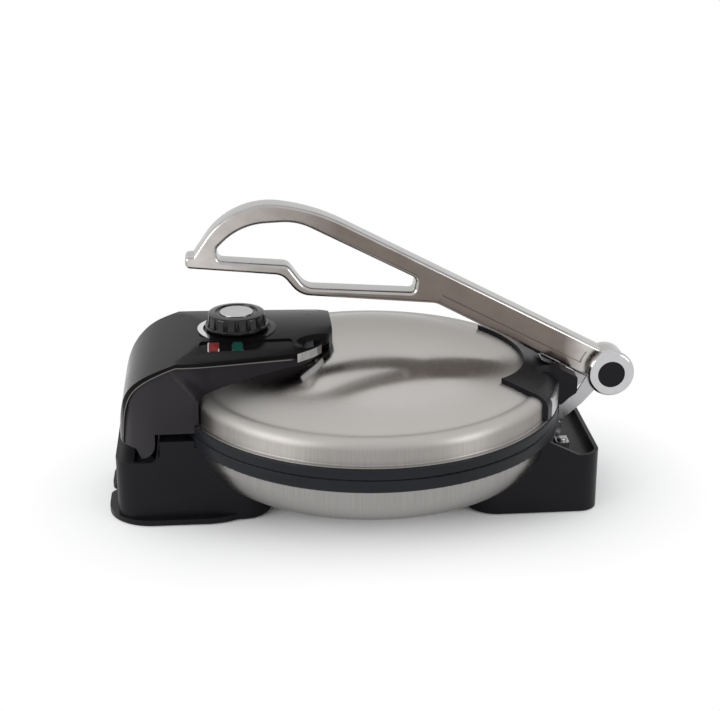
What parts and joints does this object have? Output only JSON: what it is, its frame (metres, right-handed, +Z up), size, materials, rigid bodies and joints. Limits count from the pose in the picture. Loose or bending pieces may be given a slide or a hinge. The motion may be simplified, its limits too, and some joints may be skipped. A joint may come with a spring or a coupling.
{
  "type": "electric roti maker",
  "caption": "Electric roti maker: round clam-shell baking plates, a hinged domed lid with thermostat knob, and a long rear lever that presses the lid.",
  "frame": {"origin": "on the table, under the centre of the cooker's bounding box; the baking plates' vertical axis passes through it", "axes": "+X to the side the lever's chromed cap is on, +Y from the control end to the hinge end, +Z up"},
  "size_m": [0.28, 0.3894, 0.223],
  "materials": {
    "polished_steel": "mirror polished",
    "bracket_steel": "satin",
    "ring_plastic": "heat-proof matte",
    "plate_coating": "non-stick coating",
    "heater_steel": "satin",
    "body_plastic": "satin",
    "housing_plastic": "satin",
    "panel_plastic": "gloss",
    "rubber": "matte",
    "chrome": "polished",
    "plug_plastic": "matte",
    "lever_metal": "polished",
    "bronze": "satin",
    "lamp_red": "gloss",
    "lamp_green": "gloss"
  },
  "bodies": {
    "base": {"lower_shell": "polished_steel", "lower_ring": "ring_plastic", "lower_plate": "plate_coating", "lower_element": "heater_steel", "front_foot": "body_plastic", "rear_foot": "body_plastic", "foot_pads": "rubber", "lever_bracket": "bracket_steel", "bracket_screws": "bracket_steel", "lever_pin": "bracket_steel", "pivot_cap": "chrome", "cap_plug": "plug_plastic", "pivot_nut": "chrome", "lid_hinge_pin": "bracket_steel", "cord_gland": "rubber"},
    "lid": {"lid_shell": "polished_steel", "upper_ring": "ring_plastic", "upper_plate": "plate_coating", "upper_element": "heater_steel", "control_housing": "housing_plastic", "control_panel": "panel_plastic", "panel_trim": "chrome", "scale_ring": "chrome", "lamp_strip": "panel_plastic", "lamp_bezels": "chrome", "lamp_red": "lamp_red", "lamp_green": "lamp_green", "rear_cover": "body_plastic", "lid_hinge_bracket": "bracket_steel", "thermostat": "housing_plastic"},
    "control_knob": {"knob": "panel_plastic", "knob_cap": "chrome", "thermostat_shaft": "bracket_steel"},
    "lever_bush": {"lever_bush": "bronze"},
    "lever": {"press_lever": "lever_metal"}
  },
  "joints": [
    {"name": "lid_hinge", "type": "hinge", "parent": "base", "child": "lid", "pos_m": [0, 0.143, 0.084], "axis": [-1, 0, 0], "range_deg": [0, 85]},
    {"name": "lever_lift", "type": "hinge", "parent": "base", "child": "lever_bush", "pos_m": [0, 0.178, 0.0905], "axis": [-1, 0, 0], "range_deg": [0, 92]},
    {"name": "lever_swing", "type": "hinge", "parent": "lever_bush", "child": "lever", "pos_m": [0, 0.178, 0.0905], "axis": [-1, 0, 0], "range_deg": [0, 60]},
    {"name": "knob_turn", "type": "hinge", "parent": "lid", "child": "control_knob", "pos_m": [0, -0.097, 0.131], "axis": [0, 0, 1], "range_deg": [0, 270]}
  ],
  "couplings": [
    {"joint": "lever_lift", "follows": "lid_hinge", "ratio": 1.08}
  ]
}
